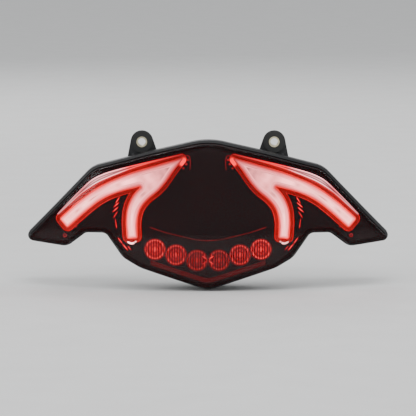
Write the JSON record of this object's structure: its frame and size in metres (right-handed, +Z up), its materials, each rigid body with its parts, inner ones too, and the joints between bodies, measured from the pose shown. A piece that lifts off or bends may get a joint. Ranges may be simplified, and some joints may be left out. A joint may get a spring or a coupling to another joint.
{
  "type": "motorcycle tail light",
  "caption": "Wing-shaped LED tail and brake light: a smoked-red curved lens over arrow-shaped light guides and ribbed round brake optics, with a black housing, ears and a heat sink",
  "frame": {"origin": "midway between the two upper ear bolts, on the plane where the ears meet the frame of the vehicle", "axes": "+X to the rider's right, +Y forward into the vehicle, out of the back of the lamp, +Z up; the lens looks along -Y"},
  "size_m": [0.3072, 0.0893, 0.1305],
  "materials": {
    "lens": "smoked dark-red clear PMMA, gloss",
    "sealant": "black sealant",
    "housing": "black fine-grained ABS",
    "foam": "closed-cell foam",
    "bezel": "gloss black",
    "guide": "clear acrylic, lit",
    "tray": "red, lit by the guide",
    "blade": "metallised",
    "carrier": "metallised dark red",
    "reflector": "red prism plastic",
    "board": "white solder mask",
    "led": "LED packages",
    "chip": "moulded packages",
    "aluminium": "die cast, fine blasted",
    "seal": "silicone rubber",
    "connector_seal": "orange silicone",
    "screw": "zinc plated",
    "terminal": "tinned brass",
    "grommet": "EPDM rubber",
    "collar": "yellow zinc plated",
    "optic": "red ribbed optic"
  },
  "bodies": {
    "root": {"bezel_panel": "bezel", "bezel_screws": "screw", "board_screws": "screw", "body_gasket": "foam", "brake_board": "board", "brake_leds": "led", "brake_optic_1": "optic", "brake_optic_2": "optic", "brake_optic_3": "optic", "brake_optic_4": "optic", "brake_optic_5": "optic", "brake_optic_6": "optic", "chin_reflector": "reflector", "driver_parts": "chip", "ear_collars": "collar", "ear_grommets": "grommet", "glint_blade_left": "blade", "glint_blade_right": "blade", "guide_leds_left": "led", "guide_leds_right": "led", "guide_tray_left": "tray", "guide_tray_right": "tray", "heat_sink": "aluminium", "heat_sink_screws": "screw", "heat_sink_seal": "seal", "led_strip_left": "board", "led_strip_right": "board", "lens_bond_bead": "sealant", "light_guide_left": "guide", "light_guide_right": "guide", "optic_carrier": "carrier", "outer_lens": "lens", "rear_housing": "housing", "socket_pins": "terminal", "socket_seal": "connector_seal", "vent_caps": "seal"}
  },
  "joints": []
}
